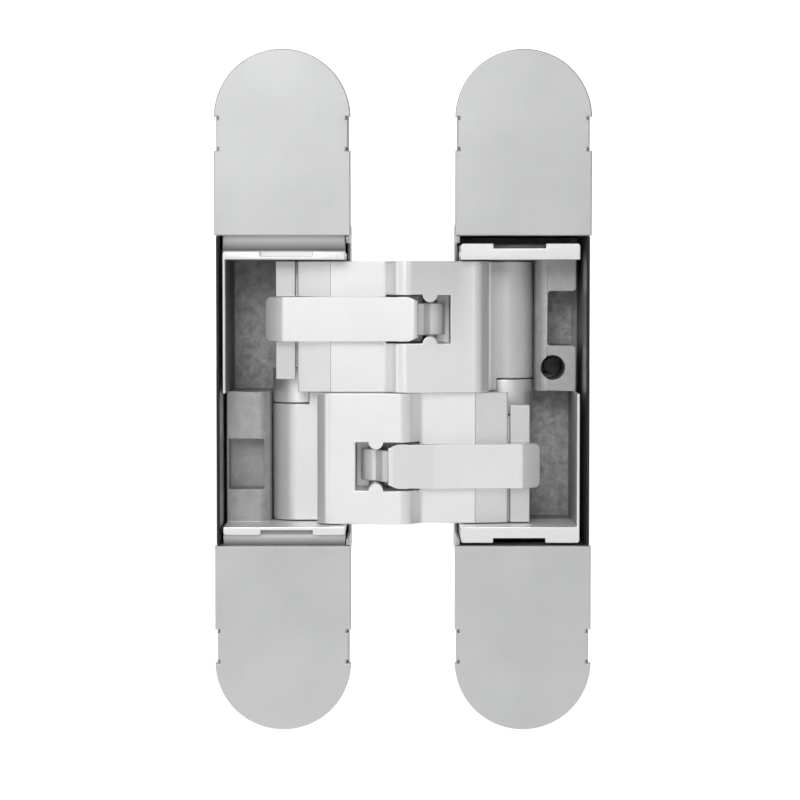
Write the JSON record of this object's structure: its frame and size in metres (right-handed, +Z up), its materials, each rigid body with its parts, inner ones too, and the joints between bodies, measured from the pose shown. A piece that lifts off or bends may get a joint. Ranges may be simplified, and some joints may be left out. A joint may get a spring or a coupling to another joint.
{
  "type": "concealed door hinge",
  "caption": "Concealed door hinge with two mortised leaves joined by crossed folding arms and tie links, clip-on end covers, and height and side adjustment.",
  "frame": {"origin": "Middle of the open hinge: midway between the leaves, at half their height and half the depth", "axes": "X across the leaves from frame to door, Y into the door edge, Z up along the pins"},
  "size_m": [0.0636, 0.0266, 0.115],
  "materials": {
    "cover_satin": "satin plated",
    "housing_cast": "plated zinc casting",
    "carrier_cast": "plated zinc casting",
    "linkage_satin": "satin plated zinc casting",
    "pin_steel": "ground steel",
    "bush_brass": "plain bronze",
    "screw_steel": "dark plated steel"
  },
  "bodies": {
    "frame_leaf": {"frame_housing": "housing_cast", "frame_top_cover": "cover_satin", "frame_bottom_cover": "cover_satin", "frame_clamp_screws": "screw_steel"},
    "frame_cradle": {"frame_carrier": "carrier_cast", "frame_arm_pin": "pin_steel", "frame_link_pin": "pin_steel"},
    "lower_arm": {"frame_arm": "linkage_satin", "frame_arm_bush": "bush_brass", "lower_centre_bush": "bush_brass", "lower_eye_pin": "pin_steel", "centre_pin": "pin_steel"},
    "upper_arm": {"door_arm": "linkage_satin", "door_arm_bush": "bush_brass", "upper_centre_bush": "bush_brass", "upper_eye_pin": "pin_steel"},
    "door_cradle": {"door_carrier": "carrier_cast", "door_arm_pin": "pin_steel", "door_link_pin": "pin_steel"},
    "door_leaf": {"door_housing": "housing_cast", "door_top_cover": "cover_satin", "door_bottom_cover": "cover_satin", "door_clamp_screw": "screw_steel"},
    "upper_link": {"frame_link": "linkage_satin", "frame_link_bush": "bush_brass"},
    "lower_link": {"door_link": "linkage_satin", "door_link_bush": "bush_brass"}
  },
  "joints": [
    {"name": "height_adjust", "type": "slide", "parent": "frame_leaf", "child": "frame_cradle", "axis": [0, 0, 1], "range_m": [-0.00155, 0.00245]},
    {"name": "frame_arm_swing", "type": "hinge", "parent": "frame_cradle", "child": "lower_arm", "pos_m": [-0.018, 0.0025, 0], "axis": [0, 0, -1], "range_deg": [0, 63.4]},
    {"name": "centre_fold", "type": "hinge", "parent": "lower_arm", "child": "upper_arm", "pos_m": [0, -0.0041, 0], "axis": [0, 0, -1], "range_deg": [0, 53.21]},
    {"name": "door_swing", "type": "hinge", "parent": "upper_arm", "child": "door_cradle", "pos_m": [0.018, 0.0025, 0], "axis": [0, 0, -1], "range_deg": [0, 63.41]},
    {"name": "side_adjust", "type": "slide", "parent": "door_cradle", "child": "door_leaf", "axis": [1, 0, 0], "range_m": [-0.0009, 0]},
    {"name": "frame_link_swing", "type": "hinge", "parent": "frame_cradle", "child": "upper_link", "pos_m": [-0.0168, 0.00107, 0], "axis": [0, 0, -1], "range_deg": [0, 79.39]},
    {"name": "door_link_swing", "type": "hinge", "parent": "door_cradle", "child": "lower_link", "pos_m": [0.0168, 0.00107, 0], "axis": [0, 0, 1], "range_deg": [0, 79.39]}
  ],
  "couplings": [
    {"joint": "centre_fold", "follows": "frame_arm_swing", "ratio": 0.8391},
    {"joint": "door_swing", "follows": "frame_arm_swing", "ratio": 1},
    {"joint": "frame_link_swing", "follows": "frame_arm_swing", "ratio": 1.252},
    {"joint": "door_link_swing", "follows": "frame_arm_swing", "ratio": 1.252}
  ]
}
